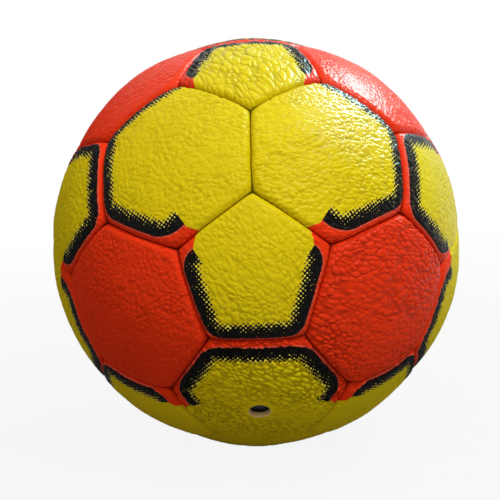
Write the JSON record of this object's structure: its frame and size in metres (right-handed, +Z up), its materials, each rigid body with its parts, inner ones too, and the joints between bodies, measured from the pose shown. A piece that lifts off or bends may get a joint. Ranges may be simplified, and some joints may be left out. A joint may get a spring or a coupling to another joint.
{
  "type": "handball",
  "caption": "Small hand-sewn handball with pebbled yellow and orange leather panels over an inflated rubber bladder, with a needle valve for pumping.",
  "frame": {"origin": "the ball's centre", "axes": "-Y out through the front pentagon, +Z up through that pentagon's upper corner, +X to the right seen from the front; the valve is on the front, below, in the plane X = 0"},
  "size_m": [0.1484, 0.1496, 0.1492],
  "materials": {
    "yellow_leather": "satin",
    "orange_leather": "satin",
    "backing_cloth": "matte",
    "waxed_thread": "satin",
    "bladder_rubber": "matte",
    "valve_rubber": "matte"
  },
  "bodies": {
    "root": {"pentagon_front": "yellow_leather", "pentagon_back": "yellow_leather", "pentagon_front_top": "yellow_leather", "pentagon_front_right": "yellow_leather", "pentagon_front_lower_right": "yellow_leather", "pentagon_front_lower_left": "yellow_leather", "pentagon_front_left": "yellow_leather", "pentagon_back_bottom": "yellow_leather", "pentagon_back_left": "yellow_leather", "pentagon_back_upper_left": "yellow_leather", "pentagon_back_upper_right": "yellow_leather", "pentagon_back_right": "yellow_leather", "hexagon_valve": "yellow_leather", "hexagon_front_left": "orange_leather", "hexagon_front_upper_left": "yellow_leather", "hexagon_front_upper_right": "yellow_leather", "hexagon_front_right": "orange_leather", "hexagon_mid_front_bottom": "yellow_leather", "hexagon_mid_front_left": "yellow_leather", "hexagon_mid_front_upper_left": "orange_leather", "hexagon_mid_front_upper_right": "orange_leather", "hexagon_mid_front_right": "yellow_leather", "hexagon_mid_back_top": "yellow_leather", "hexagon_mid_back_right": "yellow_leather", "hexagon_mid_back_lower_right": "orange_leather", "hexagon_mid_back_lower_left": "orange_leather", "hexagon_mid_back_left": "yellow_leather", "hexagon_back_top": "yellow_leather", "hexagon_back_right": "orange_leather", "hexagon_back_lower_right": "yellow_leather", "hexagon_back_lower_left": "yellow_leather", "hexagon_back_left": "orange_leather", "pentagon_backings": "backing_cloth", "hexagon_backings": "backing_cloth", "pentagon_seam_stitching": "waxed_thread", "hexagon_seam_stitching": "waxed_thread", "bladder": "bladder_rubber", "valve_body": "valve_rubber", "valve_core": "valve_rubber"}
  },
  "joints": []
}
